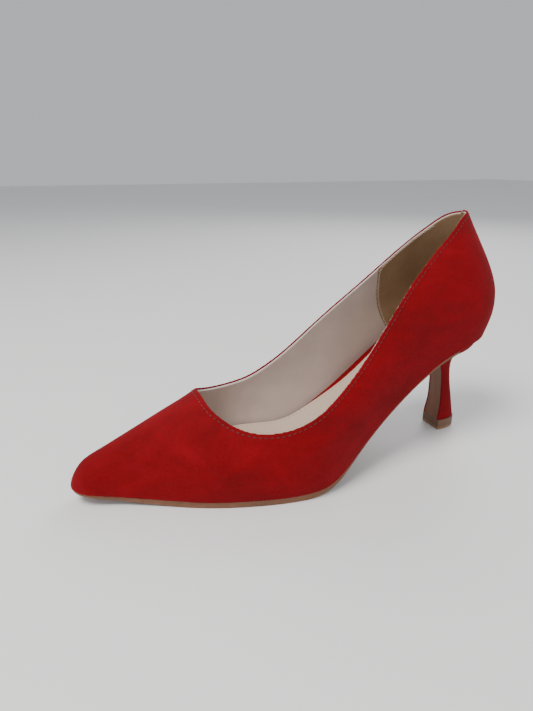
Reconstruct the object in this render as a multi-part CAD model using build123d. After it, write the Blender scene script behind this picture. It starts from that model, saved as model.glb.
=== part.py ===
"""High heel pump, left shoe, women's EU 37, flared heel of 60 mm.

Frame while building: X runs from the back of the heel to the toe, Y runs to the wearer's left
(the outer side of this shoe), Z is up, and the floor is Z = 0.  At the end the whole shoe is
moved so that the origin is the bottom centre of its bounding box.  All sizes are millimetres.

The shoe is built in skins around one last (the foot form).  last_form(d) is the outer surface
of the shoe moved inwards by d, and sole_band(a, b) is the slice between the heights a and b
above the feather edge, where the upper meets the sole.
"""
from build123d import *
import math
import os

# ---------------------------------------------------------------- driving dimensions
SHOE_LENGTH = 240.0
BACK_HEIGHT = 130.5
TOE_ROUND = 11.0          # length over which the pointed toe closes
HEEL_ROUND = 30.0         # length over which the rounded back closes
CORNER_POWER = 2.2        # 2 would be an ellipse; a little more is fuller

UPPER_THICK = 1.2         # microsuede and its foam backing
STIFF_THICK = 0.7         # toe puff, counter, interlining and tape
LINING_THICK = 0.8
GLUE = 0.05               # film of cement between two layers
LASTING_MARGIN = 13.0     # how far the upper turns in under the insole

BOARD_THICK = 1.9
WRAP_THICK = 0.6
FOAM_THICK = 0.75
SOCK_THICK = 0.9
SHANK_THICK = 1.1
SHANK_WIDTH = 9.0
SHANK_FROM = 24.0
SHANK_TO = 118.0
OUTSOLE_SET_BACK = 1.0    # the upper overhangs the outsole edge
TREAD_FROM = 136.0        # flat part of the outsole that stands on the floor
TREAD_TO = 184.0
OUTSOLE_REAR = 35.0

HEEL_SKIN = 0.9           # suede that covers the heel
BREAST_SKIN = 1.0         # leather on the front of the heel
TIP_HEIGHT = 6.5
TIP_OVERHANG = 0.3
TUBE_RADIUS = 2.2
PIN_RADIUS = 1.5
SCREW_RADIUS = 2.0
SCREW_HEAD_RADIUS = 4.0
SCREW_LENGTH = 17.0
SCREW_AT = 29.0
NAIL_RADIUS = 1.0
NAIL_LENGTH = 10.0
NAIL_PLACES = [(15, 7), (23, 12), (31, 10)]
RIVET_RADIUS = 1.6
RIVET_PLACES = [52, 104]
SHANK_SIDE = 2.0          # middle line of the shank, towards the outer side
WRAP_WIDTH = 11.0         # the insole wrap reaches this far in from the edge
HEEL_PAD_TO = 62.0
LINING_DROP = 0.9         # the lining ends this far below the folded topline
TAPE_LOW = 4.9            # lower edge of the topline tape
PUFF_FROM = 198.0
TUBE_TOP = 44.0
HEEL_AXIS_LOW = (20.1, 0, 6.6)
HEEL_AXIS_HIGH = (24.4, 0, 44.0)
TIP_SECTION = (12.9, 27.3, 7.0)   # back, breast and half width of the top piece
TIP_EDGE = 0.6
PIN_FROM = 1.6
PIN_TO = 20.0
PIN_HEAD_RADIUS = 3.5
SCREW_HEAD_LIFT = 2.8
SCREW_HEAD_DEPTH = 2.0
NAIL_SINK = 0.5
NAIL_HEAD_RADIUS = 1.8
NAIL_HEAD_DEPTH = 0.5
HEEL_STEPS = 16
HEEL_SQUARE = 0.8         # below 1 the heel section is fuller than an ellipse
FAR = 300.0               # larger than the shoe, for cutting solids

# ---------------------------------------------------------------- shape of the last
# Height of the feather edge along the shoe.
FEATHER = [(0, 62.5), (15, 62.3), (30, 60.3), (45, 54.6), (60, 45.4), (75, 35.0), (90, 24.2),
           (100, 16.8), (110, 9.6), (120, 5.2), (132, 3.7), (160, 3.5), (184, 3.4), (206, 4.2),
           (228, 6.2), (240, 8.0)]
# Half breadth on the outer and on the inner side.
OUTER_SIDE = [(0, 24.5), (20, 25.8), (40, 26.5), (60, 27.2), (80, 29.8), (100, 35.2),
              (115, 40.2), (128, 43.4), (142, 42.2), (158, 38.8), (175, 33.6), (195, 24.2),
              (215, 15.0), (228, 10.4), (240, 8.0)]
INNER_SIDE = [(0, 24.0), (20, 25.2), (40, 25.0), (60, 23.2), (80, 21.2), (95, 21.2),
              (110, 24.0), (125, 28.6), (142, 33.0), (155, 33.8), (170, 31.6), (188, 25.4),
              (210, 16.2), (228, 9.6), (240, 7.0)]
# Height of the vamp ridge, carried on up the instep of the foot inside the opening.
RIDGE = [(-10, 290), (40, 222), (90, 155), (130, 96), (158, 61), (175, 47.0), (190, 40.0),
         (205, 33.5), (220, 27.0), (232, 22.0), (240, 18.5)]
# Swell of the walls against the height above the feather edge.
SWELL = [(-10, 0.96), (0, 1.0), (12, 1.04), (24, 1.045), (38, 0.985), (52, 0.84), (66, 0.64)]
# Place of the back curve against the height.
BACK_CURVE = [(0, 6.5), (50, 6.5), (62, 5.0), (72, 1.2), (82, 0.0), (92, 1.6), (104, 7.0),
              (116, 13.5), (128, 20.0), (160, 36.0)]
# Edge of the opening seen from the side, from the throat to the back.
TOPLINE_OUTER = [(174.6, 47), (173.4, 44.3), (170.5, 41.6), (166, 39), (160, 37), (153, 36.3),
                 (145, 37), (137, 39), (127, 42.8), (114, 50), (98, 63), (83, 78.5),
                 (66, 97.6), (50, 113.5), (41, 121.5), (32, 128), (20, 130.5)]
TOPLINE_INNER = [(174.6, 47), (173.4, 44.3), (170.5, 41.6), (166, 39), (158, 37), (148, 37.2),
                 (140, 39.2), (130, 45.5), (117, 58), (101, 73.5), (84, 86), (66, 97.8),
                 (50, 108.5), (41, 114.5), (32, 121.8), (26.5, 127.2), (20, 130.5)]
# Front edge of the heel grip lining, seen from the side.
GRIP_EDGE = [(68, 112), (64, 100), (61.6, 88), (59.4, 78), (56, 70), (50, 60), (42, 48)]
# Front edge of the heel counter, seen from the side.
COUNTER_EDGE = [(48, 118), (54, 100), (60, 84), (66, 66), (70, 50), (70, 30)]
# How much narrower the sock is than the insole.
SOCK_TRIM = [(0, 1.5), (15, 2.0), (35, 3.0), (50, 4.0), (62, 4.6), (78, 5.2), (90, 4.2),
             (100, 2.4), (118, 1.0), (145, 0.6), (240, 0.4)]
# Underside of the outsole, before and after its flat tread.
SOLE_WAIST = [(35, 57.2), (42, 54.3), (50, 50.1), (60, 43.9), (75, 33.4), (90, 22.4), (100, 14.8),
              (110, 7.3), (118, 2.9), (126, 0.8)]
SOLE_TOE = [(196, 0.5), (208, 1.5), (220, 3.1), (232, 5.0), (245, 7.4)]
# Heel sections: height, back, breast, half width.
HEEL_SECTIONS = [(5, 12.6, 27.4, 7.0), (14, 14.6, 26.9, 6.5), (24, 16.9, 26.7, 6.0),
                 (34, 18.9, 27.3, 5.8), (40, 19.4, 28.8, 6.2), (44, 19.2, 31.2, 7.4),
                 (48, 17.8, 35.2, 10.6), (52, 13.0, 41.5, 16.6), (56, 9.0, 49.0, 21.4),
                 (60, 7.2, 57.0, 23.6), (66, 6.4, 67.0, 24.4)]

SLICES = [-6, 1] + list(range(8, 54, 4)) + list(range(59, 136, 8))
SIDE_STEPS = 18           # intervals along each side of a slice


def smooth(points):
    """Smooth curve y(x) through the points, straight beyond both ends."""
    xs = [p[0] for p in points]
    ys = [p[1] for p in points]
    rise = [(ys[i + 1] - ys[i]) / (xs[i + 1] - xs[i]) for i in range(len(xs) - 1)]
    slope = [rise[0]]
    for i in range(1, len(xs) - 1):
        before = xs[i] - xs[i - 1]
        after = xs[i + 1] - xs[i]
        slope.append((rise[i - 1] * after + rise[i] * before) / (before + after))
    slope.append(rise[-1])

    def curve(x):
        if x <= xs[0]:
            return ys[0] + slope[0] * (x - xs[0])
        if x >= xs[-1]:
            return ys[-1] + slope[-1] * (x - xs[-1])
        i = max(k for k in range(len(xs) - 1) if xs[k] <= x)
        span = xs[i + 1] - xs[i]
        t = (x - xs[i]) / span
        keep = ys[i] * (1 + 2 * t) + slope[i] * span * t
        come = ys[i + 1] * (3 - 2 * t) - slope[i + 1] * span * (1 - t)
        return keep * (1 - t) ** 2 + come * t ** 2

    return curve


feather = smooth(FEATHER)
outer_side = smooth(OUTER_SIDE)
inner_side = smooth(INNER_SIDE)
ridge = smooth(RIDGE)
swell = smooth(SWELL)
back_curve = smooth(BACK_CURVE)


def closing(t):
    """Rises from 0 to 1 like the end of a rounded outline."""
    t = min(max(t, 0.0), 1.0)
    return math.sqrt(max(0.0, 1 - (1 - t) ** CORNER_POWER))


def crown(x, inset):
    """Height of the top of the form above the feather edge at station x."""
    lowered = ridge(x) - 1.12 * inset - feather(x)
    return max(lowered * closing((SHOE_LENGTH - inset - x) / TOE_ROUND), 1e-6)


def front_end(z, inset):
    """Foremost station of the form at height z."""
    low = -60.0
    high = SHOE_LENGTH - inset
    if z <= feather(high):
        return high
    for _ in range(50):
        middle = (low + high) / 2
        if feather(middle) + crown(middle, inset) > z:
            low = middle
        else:
            high = middle
    return low


def half_breadth(x, z, side, inset):
    """Half breadth of the form on one side at station x and height z."""
    widest = (outer_side if side > 0 else inner_side)(x) - inset
    above = z - feather(x)
    rounding = 1.0
    if above > 0:
        rounding = math.sqrt(max(0.0, 1 - (above / crown(x, inset)) ** CORNER_POWER))
    toe = closing((SHOE_LENGTH - inset - x) / TOE_ROUND)
    heel = closing((x - back_curve(z) - inset) / HEEL_ROUND)
    return widest * rounding * swell(above) * toe * heel


def half_outline(z, side, inset):
    """Outline of one side of the form at one height, drawn at positive y from back to front."""
    back = back_curve(z) + inset
    front = front_end(z, inset)
    points = []
    for i in range(SIDE_STEPS + 1):
        x = (back + front) / 2 - (front - back) / 2 * math.cos(math.pi * i / SIDE_STEPS)
        y = 0.0 if i in (0, SIDE_STEPS) else half_breadth(x, z, side, inset)
        points.append((x, y, z))
    return points


def even_spline(points):
    """Curve with evenly spread parameters, so that slices match each other."""
    count = len(points) - 1
    return Edge.make_spline(points, parameters=[i / count for i in range(count + 1)])


def form_surface(side, inset):
    """Wall of one side of the form."""
    return Shell.make_loft([Wire([even_spline(half_outline(z, side, inset))]) for z in SLICES]).faces()[0]


def half_form(side, inset):
    """Solid of one side of the form, moved inwards by inset."""
    wall = form_surface(side, inset)
    back, front = sorted([e for e in wall.edges() if abs(e.center().Y) < 0.001],
                         key=lambda e: e.center().X)
    ends = sorted([e for e in wall.edges() if abs(e.center().Y) >= 0.001],
                  key=lambda e: e.center().Z)
    chords = [Edge.make_line(e @ 0, e @ 1) for e in ends]
    caps = [Face(Wire([e, chord])) for e, chord in zip(ends, chords)]
    middle = Face(Wire([back, front] + chords))
    return Solid(Shell([wall, middle] + caps))


def wall_between(first, second):
    """Solid wall between two surfaces that run side by side."""
    rims = []
    for edge in first.edges():
        partner = min(second.edges(), key=lambda e: (e.center() - edge.center()).length)
        rims.append(Face.make_surface_from_curves(edge, partner))
    return Solid(Shell([first, second] + rims))


def half_skin(side, outside, inside):
    """One side of the skin between two insets of the form."""
    return wall_between(form_surface(side, outside), form_surface(side, inside))


def both_sides(make_half):
    """Joins the outer half and the mirrored inner half of a piece."""
    return make_half(1) + mirror(make_half(-1), about=Plane.XZ)


def feather_point(x, lift):
    """Point at station x, moved square to the feather edge by lift."""
    lean = (feather(x + 0.5) - feather(x - 0.5))
    size = math.hypot(1, lean)
    return (x - lift * lean / size, feather(x) + lift / size)


def side_prism(face, low=-FAR, high=FAR):
    """Solid of a face drawn in the side view, from y = low to y = high."""
    return extrude(Pos(0, low, 0) * face, amount=high - low, dir=(0, 1, 0))


def side_face(edges):
    """Face in the side view from edges that make a closed outline."""
    return Face(Wire(edges))


def in_side(points):
    """Side-view points as 3-D points."""
    return [(x, 0, z) for x, z in points]


STATIONS = [-12, 0, 12, 24, 36, 48, 60, 72, 84, 94, 103, 112, 121, 132, 146, 160, 175, 190,
            205, 220, 234, 250]


def sole_band(low, high, start=STATIONS[0], stop=STATIONS[-1]):
    """Layer between two lifts above the feather edge, over part of the length."""
    inside = [x for x in STATIONS if start + 3 < x < stop - 3]
    stations = [start] + inside + [stop]
    under = in_side([feather_point(x, low) for x in stations])
    over = in_side([feather_point(x, high) for x in stations])
    edges = [Edge.make_spline(under), Edge.make_line(under[-1], over[-1]),
             Edge.make_spline(over[::-1]), Edge.make_line(over[0], under[0])]
    return side_prism(side_face(edges))


def above_sole(lift):
    """Everything above the feather edge moved up by lift."""
    under = in_side([feather_point(x, lift) for x in STATIONS])
    back_top = (under[0][0], 0, FAR)
    front_top = (under[-1][0], 0, FAR)
    edges = [Edge.make_spline(under), Edge.make_line(under[-1], front_top),
             Edge.make_line(front_top, back_top), Edge.make_line(back_top, under[0])]
    return side_prism(side_face(edges))


def below_sole(lift):
    """Everything below the feather edge moved by lift."""
    over = in_side([feather_point(x, lift) for x in STATIONS])
    front_low = (over[-1][0], 0, -FAR)
    back_low = (over[0][0], 0, -FAR)
    edges = [Edge.make_spline(over), Edge.make_line(over[-1], front_low),
             Edge.make_line(front_low, back_low), Edge.make_line(back_low, over[0])]
    return side_prism(side_face(edges))


def plan_prism(inset, trim=None):
    """Upright solid over the sole outline moved inwards; trim(x) narrows it further."""
    back = back_curve(feather(0)) + inset
    front = SHOE_LENGTH - inset
    while min(outer_side(front), inner_side(front)) < inset + 2.0:
        front -= 1.0
    points = []
    for i in range(2 * SIDE_STEPS):
        x = (back + front) / 2 - (front - back) / 2 * math.cos(math.pi * i / SIDE_STEPS)
        side = 1 if i < SIDE_STEPS else -1
        widest = (outer_side if side > 0 else inner_side)(x) - inset
        if trim:
            widest -= trim(x)
        half = widest * closing((front - x) / TOE_ROUND) * closing((x - back) / HEEL_ROUND)
        points.append((x, 0.0 if i in (0, SIDE_STEPS) else side * half, -20))
    return extrude(Face(Wire([Edge.make_spline(points, periodic=True)])), amount=FAR, dir=(0, 0, 1))


def topline(side, drop):
    """Side-view points of the edge of the opening, moved down into the upper by drop."""
    points = TOPLINE_OUTER if side > 0 else TOPLINE_INNER
    moved = []
    for i, (x, z) in enumerate(points):
        before = points[max(i - 1, 0)]
        after = points[min(i + 1, len(points) - 1)]
        along = (after[0] - before[0], after[1] - before[1])
        if i == 0:
            along = (0, -1)
        if i == len(points) - 1:
            along = (-1, 0)
        size = math.hypot(*along)
        moved.append((x - drop * along[1] / size, z + drop * along[0] / size))
    return in_side(moved)


def opening(side, drop=0.0):
    """Solid that fills the opening on one side of the shoe, at positive y."""
    edge = topline(side, drop)
    corners = [edge[-1], (-FAR, 0, edge[-1][2]), (-FAR, 0, FAR), (edge[0][0], 0, FAR), edge[0]]
    lines = [Edge.make_line(corners[i], corners[i + 1]) for i in range(4)]
    return side_prism(side_face([Edge.make_spline(edge)] + lines), -1)


def behind(points):
    """Everything behind a line drawn in the side view, and straight up from its top."""
    edge = in_side(points)
    corners = [edge[-1], (-FAR, 0, edge[-1][2]), (-FAR, 0, FAR), (edge[0][0], 0, FAR), edge[0]]
    lines = [Edge.make_line(corners[i], corners[i + 1]) for i in range(4)]
    return side_prism(side_face([Edge.make_spline(edge)] + lines))


# ---------------------------------------------------------------- heights of the layers
STIFF_OUT = UPPER_THICK + GLUE
STIFF_IN = STIFF_OUT + STIFF_THICK
LINING_OUT = STIFF_IN + GLUE
LINING_IN = LINING_OUT + LINING_THICK
MARGIN_TOP = STIFF_OUT + LINING_THICK               # top of the two turned-in layers
BOARD_LOW = MARGIN_TOP + GLUE
BOARD_TOP = BOARD_LOW + BOARD_THICK
FOAM_LOW = BOARD_TOP + GLUE
SOCK_LOW = FOAM_LOW + FOAM_THICK + GLUE
SOCK_TOP = SOCK_LOW + SOCK_THICK
BOARD_INSET = LINING_IN + 0.1


# ---------------------------------------------------------------- upper and its skins
def lasted_skin(outside, inside, lift, thick, margin, drop, keep=lambda piece: piece):
    """Skin that is pulled over the last and turned in under the insole."""
    def wall(side):
        skin = half_skin(side, outside, inside) & above_sole(lift + thick)
        return keep(skin - opening(side, drop))

    def turned_in(side):
        hole = plan_prism(margin)
        if side < 0:
            hole = mirror(hole, about=Plane.XZ)
        return keep((half_form(side, outside) & sole_band(lift, lift + thick)) - hole)

    return both_sides(wall) + both_sides(turned_in)


def stiffener(high_drop, low_drop=None):
    """Skin between upper and lining, from one drop under the topline to another."""
    def half(side):
        wall = half_skin(side, STIFF_OUT, STIFF_IN) & above_sole(STIFF_OUT)
        if low_drop:
            wall = wall & opening(side, low_drop)
        return wall - opening(side, high_drop)
    return both_sides(half)


def make_upper():
    return lasted_skin(0, UPPER_THICK, 0, UPPER_THICK, LASTING_MARGIN, 0)


def make_lining(keep):
    return lasted_skin(LINING_OUT, LINING_IN, STIFF_OUT, LINING_THICK,
                       LASTING_MARGIN + 1, LINING_DROP, keep)


def make_stiffeners():
    """Toe puff, heel counter and the interlining that fills the space between them."""
    layer = stiffener(TAPE_LOW + GLUE)
    toe_zone = Pos(PUFF_FROM + FAR / 2, 0, 0) * Box(FAR, FAR, FAR)
    counter_zone = behind(COUNTER_EDGE)
    puff = layer & toe_zone
    counter = layer & counter_zone
    return puff, counter, layer - toe_zone - counter_zone


def make_tape():
    return stiffener(LINING_DROP, TAPE_LOW)


# ---------------------------------------------------------------- insole and sole
def layer_in_shoe(inset, low, high):
    """Board that fills the form between two lifts."""
    return both_sides(lambda side: half_form(side, inset) & sole_band(low, high))


def make_insole_board():
    return layer_in_shoe(BOARD_INSET, BOARD_LOW, BOARD_TOP)


def make_insole_wrap():
    """Suede strip round the edge of the insole, left bare by the narrower sock."""
    cover = layer_in_shoe(BOARD_INSET, FOAM_LOW, FOAM_LOW + WRAP_THICK)
    return cover - plan_prism(WRAP_WIDTH)


def make_sock():
    trim = smooth(SOCK_TRIM)
    return plan_prism(LINING_IN + 0.2, trim) & sole_band(SOCK_LOW, SOCK_TOP)


def make_padding(start, stop):
    """Soft layer under the sock over part of the length."""
    return plan_prism(WRAP_WIDTH + 0.3) & sole_band(FOAM_LOW, FOAM_LOW + FOAM_THICK, start, stop)


def make_shank_board():
    return plan_prism(LASTING_MARGIN + 1.5) & sole_band(STIFF_OUT, MARGIN_TOP, 12, SHANK_TO + 3)


def make_steel_shank():
    strip = Pos((SHANK_FROM + SHANK_TO) / 2, SHANK_SIDE, 0) * Box(FAR, SHANK_WIDTH, FAR)
    return strip & sole_band(GLUE, GLUE + SHANK_THICK, SHANK_FROM, SHANK_TO)


def make_rivets():
    pins = [Pos(x, SHANK_SIDE, feather(x)) * Cylinder(RIVET_RADIUS, 12) for x in RIVET_PLACES]
    layer = sole_band(GLUE, MARGIN_TOP)
    return [pin & layer for pin in pins]


def make_filler():
    return plan_prism(LASTING_MARGIN + 1.3) & sole_band(GLUE, MARGIN_TOP, SHANK_TO + 4)


def make_outsole():
    """Leather sole: thin under the waist, thicker and flat at the tread, lifted at the toe."""
    top_at = [OUTSOLE_REAR] + [x for x in STATIONS if x > OUTSOLE_REAR]
    top = in_side([feather_point(x, -GLUE) for x in top_at])
    waist = in_side(SOLE_WAIST + [(TREAD_FROM, 0)])
    toe = in_side([(TREAD_TO, 0)] + SOLE_TOE)
    level = (1, 0, 0)
    edges = [Edge.make_spline(waist, tangents=[(1, 0, -0.5), level]),
             Edge.make_line(waist[-1], toe[0]),
             Edge.make_spline(toe, tangents=[level, (1, 0, 0.2)]),
             Edge.make_line(toe[-1], top[-1]), Edge.make_spline(top[::-1]),
             Edge.make_line(top[0], waist[0])]
    return plan_prism(OUTSOLE_SET_BACK) & side_prism(side_face(edges))


# ---------------------------------------------------------------- heel
def heel_outline(section, skin, breast):
    """Curve round the sides and back of the heel at one height."""
    z, back, front, half = section
    points = []
    for i in range(HEEL_STEPS + 1):
        angle = math.pi * (i / HEEL_STEPS - 0.5)
        x = front - breast - (front - breast - back - skin) * abs(math.cos(angle)) ** HEEL_SQUARE
        y = (half - skin) * math.copysign(abs(math.sin(angle)) ** HEEL_SQUARE, angle)
        points.append((x, y, z))
    return points


def heel_surface(skin, breast):
    wires = [Wire([even_spline(heel_outline(s, skin, breast))]) for s in HEEL_SECTIONS]
    return Shell.make_loft(wires).faces()[0]


def breast_surface(skin, breast):
    wires = []
    for section in HEEL_SECTIONS:
        points = heel_outline(section, skin, breast)
        wires.append(Wire([Edge.make_line(points[0], points[-1])]))
    return Shell.make_loft(wires).faces()[0]


def trim_heel(solid, sole):
    """Cuts a heel piece off above the tip and below the seat of the shoe."""
    floor = Pos(0, 0, -FAR / 2 + TIP_HEIGHT + GLUE) * Box(FAR, FAR, FAR)
    return (solid & below_sole(-GLUE)) - floor - sole


def make_heel_block(sole):
    sections = []
    for section in HEEL_SECTIONS:
        points = heel_outline(section, HEEL_SKIN + GLUE, BREAST_SKIN + GLUE)
        sections.append(Wire([even_spline(points), Edge.make_line(points[-1], points[0])]))
    return trim_heel(Solid.make_loft(sections), sole)


def make_heel_cover(sole):
    return trim_heel(wall_between(heel_surface(0, 0), heel_surface(HEEL_SKIN, 0)), sole)


def make_breast_cover(sole):
    inset = HEEL_SKIN + GLUE
    slab = wall_between(breast_surface(inset, GLUE), breast_surface(inset, BREAST_SKIN))
    return trim_heel(slab, sole)


def along_heel(radius, start, stop):
    """Round bar on the sloping middle line of the heel between two heights."""
    low = Vector(*HEEL_AXIS_LOW)
    lean = (Vector(*HEEL_AXIS_HIGH) - low) * (1 / (HEEL_AXIS_HIGH[2] - HEEL_AXIS_LOW[2]))
    base = low + lean * (start - HEEL_AXIS_LOW[2])
    line = Plane(base, z_dir=lean)
    return line * extrude(Circle(radius), (stop - start) * lean.length)


def make_heel_tube():
    bottom = TIP_HEIGHT + 2 * GLUE
    return along_heel(TUBE_RADIUS, bottom, TUBE_TOP) - along_heel(PIN_RADIUS + GLUE, 0, 2 * TUBE_TOP)


def make_tip_pin():
    """Steel pin moulded into the top piece and driven into the heel tube."""
    return along_heel(PIN_RADIUS, PIN_FROM, PIN_TO) + along_heel(PIN_HEAD_RADIUS, PIN_FROM, PIN_FROM + 1.2)


def make_heel_tip():
    """Top piece: a D shaped block a little larger than the end of the heel."""
    points = heel_outline((0,) + TIP_SECTION, -TIP_OVERHANG, -TIP_OVERHANG)
    outline = Wire([even_spline(points), Edge.make_line(points[-1], points[0])])
    block = extrude(Face(outline), amount=TIP_HEIGHT, dir=(0, 0, 1))
    return fillet(block.edges().group_by(Axis.Z)[0], TIP_EDGE)


def make_heel_screw():
    """Countersunk screw that holds the heel to the insole."""
    top = feather(SCREW_AT) + SCREW_HEAD_LIFT
    shaft = Pos(SCREW_AT, 0, top - SCREW_LENGTH / 2) * Cylinder(SCREW_RADIUS, SCREW_LENGTH)
    cone = Cone(SCREW_RADIUS, SCREW_HEAD_RADIUS, SCREW_HEAD_DEPTH)
    head = Pos(SCREW_AT, 0, top - SCREW_HEAD_DEPTH / 2) * cone
    slot = Pos(SCREW_AT, 0, top) * Box(2 * SCREW_HEAD_RADIUS, 1.0, 1.6)
    return shaft + head - slot


def make_heel_nails():
    """Nails round the heel seat, driven down through the insole."""
    nails = []
    for x, y in NAIL_PLACES:
        for side in (1, -1):
            top = feather(x) + BOARD_TOP - NAIL_SINK
            shaft = Pos(x, side * y, top - NAIL_LENGTH / 2) * Cylinder(NAIL_RADIUS, NAIL_LENGTH)
            head = Pos(x, side * y, top - NAIL_HEAD_DEPTH / 2) * Cylinder(NAIL_HEAD_RADIUS, NAIL_HEAD_DEPTH)
            nails.append(shaft + head)
    return nails


def clear(piece, others):
    """Takes the room of other pieces out of a piece."""
    for other in others:
        piece = piece - other
    return piece


# ---------------------------------------------------------------- the whole shoe
def make_shoe():
    sole = make_outsole()
    nails = make_heel_nails()
    screw = make_heel_screw()
    screw_room = screw + Pos(SCREW_AT, 0, feather(SCREW_AT) + SCREW_HEAD_LIFT + 3) * Cylinder(
        SCREW_HEAD_RADIUS, 6)
    rivets = make_rivets()
    tube_room = along_heel(TUBE_RADIUS + GLUE, 0, TUBE_TOP + GLUE)
    tip_pin = make_tip_pin()
    grip_zone = behind(GRIP_EDGE)
    grip_lining = make_lining(lambda piece: piece & grip_zone)
    puff, counter, interlining = make_stiffeners()
    driven = nails + [screw_room]
    return {
        "upper": clear(make_upper(), nails),
        "upper_interlining": interlining,
        "toe_puff": puff,
        "heel_counter": counter,
        "topline_tape": make_tape(),
        "vamp_lining": make_lining(lambda piece: piece - grip_zone),
        "heel_grip_lining": clear(grip_lining, nails),
        "insole_board": clear(make_insole_board(), driven),
        "insole_wrap": make_insole_wrap(),
        "shank_board": clear(make_shank_board(), driven + rivets),
        "steel_shank": clear(make_steel_shank(), driven + rivets),
        "shank_rivets": Compound(children=rivets),
        "bottom_filler": make_filler(),
        "sock_foam": make_padding(HEEL_PAD_TO + 1, 228),
        "heel_pad": make_padding(10, HEEL_PAD_TO),
        "sock_lining": make_sock(),
        "outsole": sole,
        "heel_block": clear(make_heel_block(sole), driven + [tube_room]),
        "heel_cover": make_heel_cover(sole),
        "heel_breast_cover": make_breast_cover(sole),
        "heel_tube": make_heel_tube(),
        "heel_screw": screw,
        "heel_nails": Compound(children=nails),
        "heel_tip": clear(make_heel_tip(), [tip_pin]),
        "heel_tip_pin": tip_pin,
    }


def write_parts():
    os.makedirs("parts", exist_ok=True)
    pieces = make_shoe()
    boxes = [piece.bounding_box() for piece in pieces.values()]
    middle_x = (min(b.min.X for b in boxes) + max(b.max.X for b in boxes)) / 2
    middle_y = (min(b.min.Y for b in boxes) + max(b.max.Y for b in boxes)) / 2
    floor = min(b.min.Z for b in boxes)
    for name, piece in pieces.items():
        export_step(Pos(-middle_x, -middle_y, -floor) * piece, f"parts/{name}.step")


write_parts()
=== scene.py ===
"""Looks of the high heel pump: suede, linings, stitches, sole and heel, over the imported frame."""

import math

import bmesh
import bpy
from mathutils import Matrix, Vector
from mathutils.bvhtree import BVHTree


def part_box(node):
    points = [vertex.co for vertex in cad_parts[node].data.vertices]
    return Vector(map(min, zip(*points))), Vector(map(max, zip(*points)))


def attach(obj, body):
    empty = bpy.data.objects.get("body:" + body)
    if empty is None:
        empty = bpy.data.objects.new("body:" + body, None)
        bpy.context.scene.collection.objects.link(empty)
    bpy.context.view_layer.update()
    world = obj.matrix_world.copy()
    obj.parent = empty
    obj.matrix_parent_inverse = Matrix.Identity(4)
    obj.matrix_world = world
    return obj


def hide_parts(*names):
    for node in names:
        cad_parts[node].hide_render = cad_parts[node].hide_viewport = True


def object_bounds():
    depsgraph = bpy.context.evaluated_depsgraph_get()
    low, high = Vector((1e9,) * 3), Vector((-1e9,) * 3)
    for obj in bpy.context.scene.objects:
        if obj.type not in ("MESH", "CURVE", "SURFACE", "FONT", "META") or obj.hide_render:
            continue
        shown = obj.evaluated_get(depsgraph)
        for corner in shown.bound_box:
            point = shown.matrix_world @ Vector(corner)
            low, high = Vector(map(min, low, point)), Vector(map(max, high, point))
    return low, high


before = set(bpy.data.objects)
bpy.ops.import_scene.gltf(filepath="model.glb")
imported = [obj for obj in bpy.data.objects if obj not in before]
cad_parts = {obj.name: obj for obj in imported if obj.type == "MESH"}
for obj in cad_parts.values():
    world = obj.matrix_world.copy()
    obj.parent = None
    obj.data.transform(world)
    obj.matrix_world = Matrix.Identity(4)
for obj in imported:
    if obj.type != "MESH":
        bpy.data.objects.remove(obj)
CAD_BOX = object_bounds()
MM = 0.001

# ---------------------------------------------------------------- colours (linear)
RED = (0.20, 0.0, 0.0035, 1)
RED_DARK = (0.13, 0.0, 0.0020, 1)
RED_LIGHT = (0.30, 0.002, 0.010, 1)
THREAD_RED = (0.035, 0.0, 0.0015, 1)
LINING = (0.54, 0.44, 0.385, 1)
LINING_DARK = (0.47, 0.385, 0.345, 1)
GRIP = (0.30, 0.19, 0.105, 1)
GRIP_DARK = (0.22, 0.135, 0.07, 1)
SOCK = (0.56, 0.43, 0.34, 1)
SOCK_DARK = (0.56, 0.44, 0.35, 1)
SOLE = (0.20, 0.085, 0.04, 1)
SOLE_DARK = (0.13, 0.055, 0.025, 1)
BREAST = (0.20, 0.075, 0.030, 1)
BREAST_DARK = (0.12, 0.045, 0.018, 1)
TIP = (0.13, 0.06, 0.028, 1)
TIP_LIGHT = (0.26, 0.14, 0.07, 1)
THREAD_BEIGE = (0.62, 0.52, 0.42, 1)
STEEL = (0.60, 0.60, 0.61, 1)

# ---------------------------------------------------------------- camera, measured from the heel's back
CAMERA_FROM_HEEL = Vector((0.2364, 0.2391, 0.155))
CAMERA_AHEAD = Vector((-0.357, -0.870, -0.340))
CAMERA_LENS = 27.04
CAMERA_SENSOR = 36
CAMERA_NEAREST = 0.01
CAMERA_SIDE_ZERO = 0.0446     # the camera's sideways zero lies this far inside the outer face

# ---------------------------------------------------------------- stitches
TOPLINE_STITCH_DROP = 1.4 * MM
STITCH_LENGTH = 1.9 * MM
STITCH_PITCH = 2.7 * MM
THREAD_RADIUS = 0.23 * MM
SOCK_STITCH_INSET = 2.6 * MM
SOCK_STITCH_PITCH = 2.8 * MM
ZIGZAG_STEP = 1.4 * MM
ZIGZAG_WIDTH = 1.5 * MM
THREAD_RINGS = 6              # rings of points along one stitch
THREAD_SIDES = 6
THREAD_ARCH = 0.55

# ---------------------------------------------------------------- search for the opening's edge
HEEL_CENTRE = 32 * MM         # from the back of the upper
THROAT_CENTRE = 148 * MM
LOOKS_ALONG = 60              # looks along each side
LOOKS_ROUND = 40              # looks round each end
REACH = 70 * MM
COARSE_STEP = 0.6 * MM
FINE_STEP = 0.3 * MM
FINEST_STEP = 0.02 * MM
EDGE_PITCH = 1.5 * MM
ROUND_END = 25 * MM           # length of the opening's rounded ends

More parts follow.
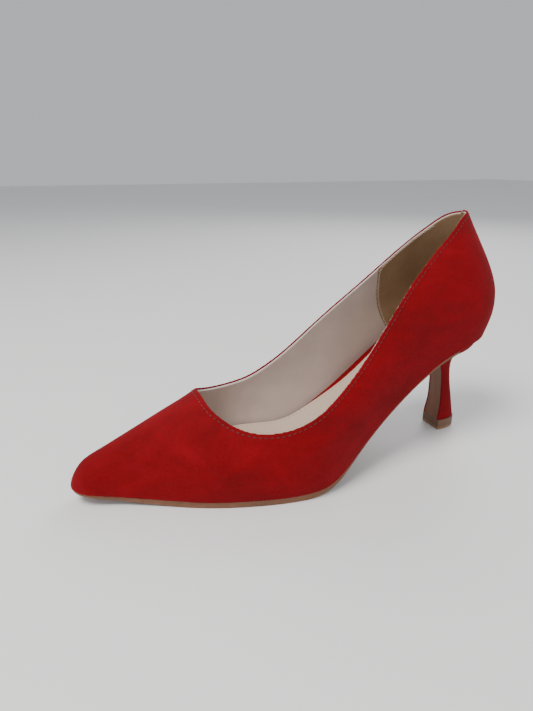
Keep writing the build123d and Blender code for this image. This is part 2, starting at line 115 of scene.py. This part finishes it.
# ---------------------------------------------------------------- meshes of the soft pieces
WELD = 0.002 * MM
UPPER_VOXEL = 0.5 * MM
SKIN_VOXEL = 0.36 * MM
WRAP_VOXEL = 0.34 * MM
FLOOR_GAP = 0.02 * MM
FLOOR_HALF = 4.0


# ================================================================ material helpers
def new_material(name):
    """An empty material, its node tree, its shader and the place of each point in metres."""
    material = bpy.data.materials.new(name)
    material.use_nodes = True
    tree = material.node_tree
    shader = tree.nodes["Principled BSDF"]
    place = tree.nodes.new("ShaderNodeTexCoord").outputs["Object"]
    return material, tree, shader, place


def stretched(tree, place, scale):
    """Texture place squeezed along the axes, so that a pattern runs one way."""
    mapping = tree.nodes.new("ShaderNodeMapping")
    mapping.inputs["Scale"].default_value = scale
    tree.links.new(place, mapping.inputs["Vector"])
    return mapping.outputs["Vector"]


def noise(tree, place, scale, detail=3.0, roughness=0.55, distortion=0.0):
    """Cloudy pattern, about one cloud in 1 / scale metres."""
    node = tree.nodes.new("ShaderNodeTexNoise")
    node.inputs["Scale"].default_value = scale
    node.inputs["Detail"].default_value = detail
    node.inputs["Roughness"].default_value = roughness
    node.inputs["Distortion"].default_value = distortion
    tree.links.new(place, node.inputs["Vector"])
    return node.outputs["Fac"]


def cells(tree, place, scale, feature="F1", output="Distance"):
    """Cell pattern, about one cell in 1 / scale metres."""
    node = tree.nodes.new("ShaderNodeTexVoronoi")
    node.feature = feature
    node.inputs["Scale"].default_value = scale
    tree.links.new(place, node.inputs["Vector"])
    return node.outputs[output]


def spread(tree, value, low, high, to_low=0.0, to_high=1.0):
    """Maps a value from one range to another and clamps it."""
    node = tree.nodes.new("ShaderNodeMapRange")
    node.inputs["From Min"].default_value = low
    node.inputs["From Max"].default_value = high
    node.inputs["To Min"].default_value = to_low
    node.inputs["To Max"].default_value = to_high
    tree.links.new(value, node.inputs["Value"])
    return node.outputs["Result"]


def blend_colour(tree, factor, first, second):
    """Goes from the first colour to the second as the factor goes from 0 to 1."""
    node = tree.nodes.new("ShaderNodeMix")
    node.data_type = "RGBA"
    for index, value in ((6, first), (7, second)):
        if isinstance(value, tuple):
            node.inputs[index].default_value = value
        else:
            tree.links.new(value, node.inputs[index])
    tree.links.new(factor, node.inputs[0])
    return node.outputs[2]


def times(tree, first, second, operation="MULTIPLY"):
    """Product of two values, or another operation on them."""
    node = tree.nodes.new("ShaderNodeMath")
    node.operation = operation
    for index, value in enumerate((first, second)):
        if isinstance(value, (int, float)):
            node.inputs[index].default_value = value
        else:
            tree.links.new(value, node.inputs[index])
    return node.outputs["Value"]


def bump(tree, shader, height, depth, below=None):
    """Adds relief of a real depth in metres, on top of coarser relief."""
    node = tree.nodes.new("ShaderNodeBump")
    node.inputs["Strength"].default_value = 1.0
    node.inputs["Distance"].default_value = depth
    tree.links.new(height, node.inputs["Height"])
    if below:
        tree.links.new(below, node.inputs["Normal"])
    tree.links.new(node.outputs["Normal"], shader.inputs["Normal"])
    return node.outputs["Normal"]


# ================================================================ materials
def suede():
    """Microsuede: short nap with brushed patches, fine fibres and a soft sheen."""
    material, tree, shader, place = new_material("suede_red")
    brushed = noise(tree, stretched(tree, place, (0.7, 1.2, 1.6)), 38, 4, 0.6, 0.6)
    patches = noise(tree, place, 120, 3, 0.6)
    mottle = noise(tree, place, 900, 3, 0.6)
    fibre = noise(tree, place, 5200, 3, 0.7)
    base = blend_colour(tree, spread(tree, brushed, 0.32, 0.68), RED_DARK, RED)
    lit = times(tree, spread(tree, patches, 0.45, 0.80), spread(tree, mottle, 0.40, 0.72))
    base = blend_colour(tree, times(tree, lit, 0.6), base, RED_LIGHT)
    base = blend_colour(tree, spread(tree, fibre, 0.30, 0.52, 0.45, 0.0), base, RED_DARK)
    speck_size = cells(tree, place, 95)
    speck_kind = cells(tree, place, 95, output="Color")
    split = tree.nodes.new("ShaderNodeSeparateColor")
    tree.links.new(speck_kind, split.inputs["Color"])
    rare = times(tree, split.outputs["Red"], 0.93, "GREATER_THAN")
    small = times(tree, speck_size, 0.022, "LESS_THAN")
    base = blend_colour(tree, times(tree, times(tree, rare, small), 0.35), base, LINING)
    tree.links.new(base, shader.inputs["Base Color"])
    tree.links.new(spread(tree, mottle, 0.3, 0.7, 0.86, 0.98), shader.inputs["Roughness"])
    shader.inputs["Specular IOR Level"].default_value = 0.18
    shader.inputs["Sheen Weight"].default_value = 0.12
    shader.inputs["Sheen Roughness"].default_value = 0.42
    shader.inputs["Sheen Tint"].default_value = (1.0, 0.05, 0.08, 1)
    coarse = bump(tree, shader, patches, 0.00022)
    coarse = bump(tree, shader, mottle, 0.00010, coarse)
    bump(tree, shader, fibre, 0.00007, coarse)
    return material


def leather(name, light, dark, roughness, wrinkle, wrinkle_depth, coat=0.0):
    """Thin lining leather: fine pebbled grain under long soft wrinkles, with painted shade in the
    wrinkle valleys.
    """
    material, tree, shader, place = new_material(name)
    tone = noise(tree, place, 60, 4, 0.6)
    creases = noise(tree, stretched(tree, place, wrinkle), 260, 5, 0.65, 1.2)
    grain = cells(tree, place, 2600, "DISTANCE_TO_EDGE")
    pores = noise(tree, place, 3800, 2, 0.6)
    base = blend_colour(tree, spread(tree, tone, 0.3, 0.7), dark, light)
    # painted shade: the colour goes towards the dark colour in the low valleys of the wrinkles
    base = blend_colour(tree, spread(tree, creases, 0.30, 0.46, 0.30, 0.0), base, dark)
    tree.links.new(base, shader.inputs["Base Color"])
    tree.links.new(spread(tree, creases, 0.3, 0.7, roughness + 0.08, roughness - 0.08),
                   shader.inputs["Roughness"])
    shader.inputs["Specular IOR Level"].default_value = 0.42
    shader.inputs["Coat Weight"].default_value = coat
    shader.inputs["Coat Roughness"].default_value = 0.45
    under = bump(tree, shader, creases, wrinkle_depth)
    under = bump(tree, shader, spread(tree, grain, 0.0, 0.12), 0.00004, under)
    bump(tree, shader, pores, 0.00003, under)
    return material


def streaked(name, light, dark, roughness, scale):
    """Smooth cut leather or board with faint streaks and scuffs."""
    material, tree, shader, place = new_material(name)
    streak = noise(tree, stretched(tree, place, scale), 160, 5, 0.65, 0.3)
    scuff = noise(tree, place, 420, 4, 0.7)
    fine = noise(tree, place, 3000, 3, 0.6)
    base = blend_colour(tree, spread(tree, streak, 0.32, 0.66), dark, light)
    base = blend_colour(tree, spread(tree, scuff, 0.60, 0.78, 0.0, 0.35), base, dark)
    tree.links.new(base, shader.inputs["Base Color"])
    tree.links.new(spread(tree, scuff, 0.3, 0.7, roughness - 0.07, roughness + 0.10),
                   shader.inputs["Roughness"])
    shader.inputs["Specular IOR Level"].default_value = 0.4
    under = bump(tree, shader, streak, 0.00008)
    bump(tree, shader, fine, 0.00003, under)
    return material


def top_piece():
    """Brown moulded top piece, paler towards the floor."""
    material, tree, shader, place = new_material("top_piece_brown")
    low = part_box("heel_tip")[0]
    height = tree.nodes.new("ShaderNodeSeparateXYZ")
    tree.links.new(place, height.inputs["Vector"])
    cloud = noise(tree, place, 500, 4, 0.6)
    # paler colour blended in over the lowest 1.4 mm to 2.2 mm of the top piece
    paler_near_floor = spread(tree, height.outputs["Z"], low[2] + 1.4 * MM, low[2] + 2.2 * MM, 0.8, 0.0)
    base = blend_colour(tree, paler_near_floor, TIP, TIP_LIGHT)
    base = blend_colour(tree, spread(tree, cloud, 0.5, 0.8, 0.0, 0.3), base, BREAST_DARK)
    tree.links.new(base, shader.inputs["Base Color"])
    tree.links.new(spread(tree, cloud, 0.3, 0.7, 0.42, 0.58), shader.inputs["Roughness"])
    bump(tree, shader, noise(tree, place, 1800, 3), 0.00004)
    return material


def thread(name, colour):
    """Twisted sewing thread."""
    material, tree, shader, place = new_material(name)
    twist = noise(tree, place, 4200, 2, 0.5)
    dark = tuple(0.6 * c for c in colour[:3]) + (1,)
    base = blend_colour(tree, spread(tree, twist, 0.35, 0.65), dark, colour)
    tree.links.new(base, shader.inputs["Base Color"])
    shader.inputs["Roughness"].default_value = 0.75
    shader.inputs["Sheen Weight"].default_value = 0.2
    bump(tree, shader, twist, 0.00006)
    return material


def plain_finish(name, light, dark, roughness, metallic=0.0):
    """Finish of the pieces held inside the shoe."""
    material, tree, shader, place = new_material(name)
    tone = noise(tree, place, 700, 4, 0.6)
    tree.links.new(blend_colour(tree, tone, dark, light), shader.inputs["Base Color"])
    shader.inputs["Metallic"].default_value = metallic
    tree.links.new(spread(tree, tone, 0.3, 0.7, roughness - 0.06, roughness + 0.06),
                   shader.inputs["Roughness"])
    bump(tree, shader, tone, 0.00005)
    return material


# ================================================================ mesh helpers
def show(obj, material, slot, *nodes):
    """Puts a finished piece into the scene, on the shoe's body."""
    obj.data.materials.clear()
    obj.data.materials.append(material)
    obj.data.polygons.foreach_set("use_smooth", [True] * len(obj.data.polygons))
    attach(obj, "root")
    if nodes:
        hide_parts(*nodes)
    return obj


def new_object(name, mesh):
    obj = bpy.data.objects.new(name, mesh)
    bpy.context.scene.collection.objects.link(obj)
    return obj


def finished_mesh(obj):
    """The object's mesh with its modifiers worked in."""
    graph = bpy.context.evaluated_depsgraph_get()
    mesh = bpy.data.meshes.new_from_object(obj.evaluated_get(graph))
    obj.modifiers.clear()
    obj.data = mesh
    return obj


def softened(node, name, voxel, rounds):
    """Copy of a soft CAD piece with an even mesh and rounded, folded edges."""
    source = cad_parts[node].data
    mesh = bpy.data.meshes.new(name)
    bm = bmesh.new()
    bm.from_mesh(source)
    bmesh.ops.remove_doubles(bm, verts=bm.verts, dist=WELD)
    bm.to_mesh(mesh)
    bm.free()
    obj = new_object(name, mesh)
    remesh = obj.modifiers.new("even", "REMESH")
    remesh.mode = "VOXEL"
    remesh.voxel_size = voxel
    remesh.use_smooth_shade = True
    relax = obj.modifiers.new("relax", "SMOOTH")
    relax.factor = 0.5
    relax.iterations = rounds
    return finished_mesh(obj)


def tree_of(obj):
    """Search tree of a mesh, for rays and nearest points."""
    bm = bmesh.new()
    bm.from_mesh(obj.data)
    tree = BVHTree.FromBMesh(bm)
    bm.free()
    return tree


def evenly(points, pitch, closed):
    """Points at an even pitch along a polyline."""
    ring = points + [points[0]] if closed else points
    lengths = [0.0]
    for a, b in zip(ring, ring[1:]):
        lengths.append(lengths[-1] + (b - a).length)
    count = max(int(lengths[-1] / pitch), 2)
    result = []
    index = 0
    for step in range(count + (0 if closed else 1)):
        want = lengths[-1] * step / count
        while index < len(ring) - 2 and lengths[index + 1] < want:
            index += 1
        span = max(lengths[index + 1] - lengths[index], 1e-9)
        result.append(ring[index].lerp(ring[index + 1], (want - lengths[index]) / span))
    return result


def smoothed(points, rounds, closed=True):
    """Points of a line drawn towards their neighbours a few times."""
    for _ in range(rounds):
        fresh = []
        for i, p in enumerate(points):
            if not closed and i in (0, len(points) - 1):
                fresh.append(p.copy())
                continue
            fresh.append(p * 0.5 + (points[i - 1] + points[(i + 1) % len(points)]) * 0.25)
        points = fresh
    return points


def add_stitch(bm, start, end, normal):
    """One visible stitch: a short round thread that dips into the surface at both ends."""
    along = (end - start).normalized()
    side = along.cross(normal).normalized()
    rings = []
    for step in range(THREAD_RINGS):
        t = step / (THREAD_RINGS - 1)
        lift = THREAD_RADIUS * (2.6 * THREAD_ARCH * math.sin(math.pi * t) - 0.75)
        thick = THREAD_RADIUS * (0.55 + 0.45 * math.sin(math.pi * t))
        centre = start.lerp(end, t) + normal * lift
        ring = []
        for k in range(THREAD_SIDES):
            angle = math.tau * k / THREAD_SIDES
            ring.append(bm.verts.new(centre + side * (thick * math.cos(angle))
                                     + normal * (thick * math.sin(angle))))
        rings.append(ring)
    for a, b in zip(rings, rings[1:]):
        for k in range(THREAD_SIDES):
            after = (k + 1) % THREAD_SIDES
            bm.faces.new((a[k], a[after], b[after], b[k]))
    bm.faces.new(rings[0][::-1])
    bm.faces.new(rings[-1])


def stitch_row(name, points, normals, material, slot, closed):
    """A row of stitches along points, as one piece."""
    bm = bmesh.new()
    count = len(points) if closed else len(points) - 1
    for i in range(count):
        a, b = points[i], points[(i + 1) % len(points)]
        step = (b - a).normalized()
        add_stitch(bm, a, a + step * STITCH_LENGTH, normals[i])
    mesh = bpy.data.meshes.new(name)
    bm.normal_update()
    bm.to_mesh(mesh)
    bm.free()
    return show(new_object(name, mesh), material, slot)


# ================================================================ the edge of the opening
def opening_edge(tree):
    """Loop along the top edge of the upper, found by looking outwards from inside the shoe."""
    low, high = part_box("upper")
    heel_centre = low[0] + HEEL_CENTRE
    throat_centre = low[0] + THROAT_CENTRE
    middle = (low[1] + high[1]) / 2 - 2 * MM
    looks = []
    for step in range(LOOKS_ALONG):
        looks.append((heel_centre + (throat_centre - heel_centre) * step / LOOKS_ALONG, math.pi / 2))
    for step in range(LOOKS_ROUND):
        looks.append((throat_centre, math.pi / 2 - math.pi * step / LOOKS_ROUND))
    for step in range(LOOKS_ALONG):
        looks.append((throat_centre + (heel_centre - throat_centre) * step / LOOKS_ALONG, -math.pi / 2))
    for step in range(LOOKS_ROUND):
        looks.append((heel_centre, -math.pi / 2 - math.pi * step / LOOKS_ROUND))
    edge = []
    for x, angle in looks:
        ahead = Vector((math.cos(angle), math.sin(angle), 0))
        z = high[2] + MM
        hit = None
        while hit is None and z > low[2]:
            z -= COARSE_STEP
            hit = tree.ray_cast(Vector((x, middle, z)), ahead, REACH)[0]
        step = FINE_STEP
        while step > FINEST_STEP:
            higher = tree.ray_cast(Vector((x, middle, z + step)), ahead, REACH)[0]
            if higher is not None:
                z += step
                hit = higher
            step /= 2
        edge.append(hit)
    return smoothed(evenly(edge, EDGE_PITCH, True), 2)


def beside_edge(edge, tree, drop):
    """Points on the skin outside the shoe, a set way below the edge of the opening."""
    points = []
    count = len(edge)
    centre_y = sum(p.y for p in edge) / count
    back, front = edge_mid(edge)
    for i, p in enumerate(edge):
        along = (edge[(i + 1) % count] - edge[i - 1]).normalized()
        radial = Vector((p.x, p.y, 0)) - Vector((min(max(p.x, back), front), centre_y, 0))
        radial = radial.normalized()
        probe = p + radial * 1.2 * MM - Vector((0, 0, drop * 0.5))
        normal = tree.find_nearest(probe)[1]
        down = along.cross(normal).normalized()
        away = radial - Vector((0, 0, 1))
        if down.dot(away) < 0:
            down = -down
        points.append(tree.find_nearest(p + down * drop + radial * 1.0 * MM)[0])
    return points


def edge_mid(edge):
    """Ends of the long middle stretch of the opening, between its rounded ends."""
    xs = [p.x for p in edge]
    return min(xs) + ROUND_END, max(xs) - ROUND_END


def outline_side(obj, side, step):
    """Outermost places of a mesh on one side, for steps along the shoe."""
    best = {}
    for vertex in obj.data.vertices:
        co = vertex.co
        key = round(co.x / step)
        if key not in best or side * co.y > side * best[key].y:
            best[key] = co.copy()
    return [best[key] for key in sorted(best)]


def sock_stitches(sock, material):
    """Stitch line that runs beside the edge of the sock, on both sides."""
    tree = tree_of(sock)
    low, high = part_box("sock_lining")
    for side, word in ((1, "outer"), (-1, "inner")):
        rim = outline_side(sock, side, 4 * MM)
        rim = [p for p in rim if low[0] + 22 * MM < p.x < high[0] - 30 * MM]
        inset = []
        for p in smoothed(rim, 4, closed=False):
            hit = tree.ray_cast(Vector((p.x, p.y - side * SOCK_STITCH_INSET, high[2] + 20 * MM)),
                                Vector((0, 0, -1)))
            inset.append(hit[0])
        points = evenly(inset, SOCK_STITCH_PITCH, False)
        normals = [tree.find_nearest(p)[1] for p in points]
        stitch_row("sock_stitches_" + word, points, normals, material, "sock_leather", False)


def seam_stitches(grip, material):
    """Zigzag that joins the heel grip to the vamp lining, up both inside walls."""
    tree = tree_of(grip)
    low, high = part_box("heel_grip_lining")
    for side, word in ((1, "outer"), (-1, "inner")):
        front = {}
        for vertex in grip.data.vertices:
            co = vertex.co
            if side * (co.y - (low[1] + high[1]) / 2) < 8 * MM:
                continue
            key = round(co.z / (2 * MM))
            if key not in front or co.x > front[key].x:
                front[key] = co.copy()
        line = [front[key] for key in sorted(front)]
        line = evenly(smoothed(line, 3, closed=False)[2:-2], ZIGZAG_STEP, False)
        zigzag = []
        for i, p in enumerate(line):
            back = (0.3 + ZIGZAG_WIDTH / MM * (i % 2)) * MM
            inside = Vector((p.x - back, p.y - side * 6 * MM, p.z))
            hit = tree.ray_cast(inside, Vector((0, side, 0)), 12 * MM)
            if hit[0] is not None:
                zigzag.append((hit[0], hit[1]))
        bm = bmesh.new()
        for (a, normal), (b, _) in zip(zigzag, zigzag[1:]):
            facing = normal if normal.y * side < 0 else -normal
            add_stitch(bm, a, b, facing)
        mesh = bpy.data.meshes.new("grip_seam_" + word)
        bm.to_mesh(mesh)
        bm.free()
        show(new_object("grip_seam_" + word, mesh), material, "grip_leather")


# ================================================================ soft pieces
suede_red = suede()
lining_skin = leather("lining_grey_pink", LINING, LINING_DARK, 0.50, (0.35, 1.0, 1.0), 0.00016, 0.08)
grip_skin = leather("grip_beige", GRIP, GRIP_DARK, 0.55, (1.0, 1.0, 0.6), 0.00010)
sock_skin = leather("sock_beige", SOCK, SOCK_DARK, 0.58, (1.0, 1.0, 1.0), 0.00007)

upper = show(softened("upper", "upper_suede", UPPER_VOXEL, 4), suede_red, "suede", "upper")
show(softened("vamp_lining", "vamp_lining_leather", SKIN_VOXEL, 2), lining_skin,
     "lining_leather", "vamp_lining")
grip = show(softened("heel_grip_lining", "heel_grip_leather", SKIN_VOXEL, 2), grip_skin,
            "grip_leather", "heel_grip_lining")
sock = show(softened("sock_lining", "sock_leather_cover", SKIN_VOXEL, 4), sock_skin,
            "sock_leather", "sock_lining")
show(softened("insole_wrap", "insole_wrap_suede", WRAP_VOXEL, 2), suede_red,
     "suede", "insole_wrap")

# ================================================================ stitches
upper_tree = tree_of(upper)
edge = opening_edge(upper_tree)
row = smoothed(beside_edge(edge, upper_tree, TOPLINE_STITCH_DROP), 2)
pitch_points = evenly(row, STITCH_PITCH, True)
pitch_normals = [upper_tree.find_nearest(p)[1] for p in pitch_points]
stitch_row("topline_stitches", pitch_points, pitch_normals,
           thread("thread_dark_red", THREAD_RED), "suede", True)
beige_thread = thread("thread_beige", THREAD_BEIGE)
sock_stitches(sock, beige_thread)
seam_stitches(grip, beige_thread)

# ================================================================ firm pieces keep their CAD shape
FINISHES = {
    "heel_cover": suede_red,
    "outsole": streaked("sole_tan", SOLE, SOLE_DARK, 0.50, (0.25, 1.4, 1.4)),
    "heel_breast_cover": streaked("breast_tan", BREAST, BREAST_DARK, 0.46, (1.6, 1.6, 0.16)),
    "heel_tip": top_piece(),
    "heel_block": plain_finish("moulded_ivory", (0.80, 0.76, 0.68, 1), (0.70, 0.66, 0.58, 1), 0.5),
    "insole_board": plain_finish("fibre_board", (0.45, 0.33, 0.22, 1), (0.33, 0.23, 0.15, 1), 0.85),
    "toe_puff": plain_finish("stiff_cloth", (0.78, 0.76, 0.72, 1), (0.66, 0.64, 0.60, 1), 0.8),
    "upper_interlining": plain_finish("knit_backing", (0.74, 0.71, 0.67, 1), (0.62, 0.59, 0.55, 1), 0.9),
    "sock_foam": plain_finish("latex_foam", (0.80, 0.72, 0.55, 1), (0.70, 0.62, 0.45, 1), 0.9),
    "bottom_filler": plain_finish("cork_paste", (0.46, 0.30, 0.17, 1), (0.28, 0.17, 0.09, 1), 0.9),
    "steel_shank": plain_finish("plain_steel", STEEL, (0.48, 0.48, 0.49, 1), 0.36, 1.0),
}
SAME_FINISH = {
    "shank_board": "insole_board", "heel_counter": "toe_puff", "topline_tape": "upper_interlining",
    "heel_pad": "sock_foam", "heel_tube": "steel_shank", "heel_screw": "steel_shank",
    "heel_nails": "steel_shank", "shank_rivets": "steel_shank", "heel_tip_pin": "steel_shank",
}
for node, like in SAME_FINISH.items():
    FINISHES[node] = FINISHES[like]
for node, material in FINISHES.items():
    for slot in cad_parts[node].material_slots:
        slot.material = material


# ================================================================ floor, light and camera
def pale_floor():
    """Large pale floor just under the sole and the tip."""
    mesh = bpy.data.meshes.new("floor")
    bm = bmesh.new()
    bmesh.ops.create_grid(bm, x_segments=1, y_segments=1, size=FLOOR_HALF)
    bm.to_mesh(mesh)
    bm.free()
    floor = new_object("floor", mesh)
    floor.location.z = CAD_BOX[0][2] - FLOOR_GAP
    material, tree, shader, place = new_material("floor_pale")
    tone = noise(tree, place, 3, 3)
    tree.links.new(blend_colour(tree, tone, (0.76, 0.76, 0.755, 1), (0.80, 0.80, 0.80, 1)),
                   shader.inputs["Base Color"])
    shader.inputs["Roughness"].default_value = 0.6
    floor.data.materials.append(material)


def soft_light(name, place, target, size, power, colour):
    """Round area light that looks at the target."""
    data = bpy.data.lights.new(name, "AREA")
    data.shape = "DISK"
    data.size = size
    data.energy = power
    data.color = colour
    lamp = bpy.data.objects.new(name, data)
    lamp.location = place
    lamp.rotation_euler = (Vector(target) - Vector(place)).to_track_quat("-Z", "Y").to_euler()
    bpy.context.scene.collection.objects.link(lamp)


def studio():
    """Even sky, a key light from above, a weak fill in front and a weak light behind."""
    world = bpy.data.worlds.new("studio")
    bpy.context.scene.world = world
    world.use_nodes = True
    sky = world.node_tree.nodes["Background"]
    sky.inputs["Color"].default_value = (0.86, 0.88, 0.92, 1)
    sky.inputs["Strength"].default_value = 0.62
    shoe = (0, 0, 0.05)
    soft_light("key", (0.55, 0.25, 1.05), shoe, 0.55, 15, (1.0, 0.97, 0.93))
    soft_light("front_fill", (0.25, 1.2, 0.55), shoe, 1.0, 5, (0.95, 0.97, 1.0))
    soft_light("back_rim", (-0.7, -0.7, 0.8), shoe, 0.7, 5, (1.0, 0.98, 0.96))


def add_camera():
    """Camera out beside the toe on the outer side, looking across the shoe and down."""
    low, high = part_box("upper")
    data = bpy.data.cameras.new("view")
    data.lens = CAMERA_LENS
    data.sensor_width = CAMERA_SENSOR
    data.clip_start = CAMERA_NEAREST
    camera = bpy.data.objects.new("view", data)
    side_zero = high[1] - CAMERA_SIDE_ZERO
    camera.location = Vector((low[0], side_zero, CAD_BOX[0][2])) + CAMERA_FROM_HEEL
    ahead = CAMERA_AHEAD.normalized()
    right = ahead.cross(Vector((0, 0, 1))).normalized()
    up = right.cross(ahead)
    camera.matrix_world = Matrix.Translation(camera.location) @ Matrix(
        (right, up, -ahead)).transposed().to_4x4()
    bpy.context.scene.collection.objects.link(camera)
    bpy.context.scene.camera = camera


pale_floor()
studio()
add_camera()
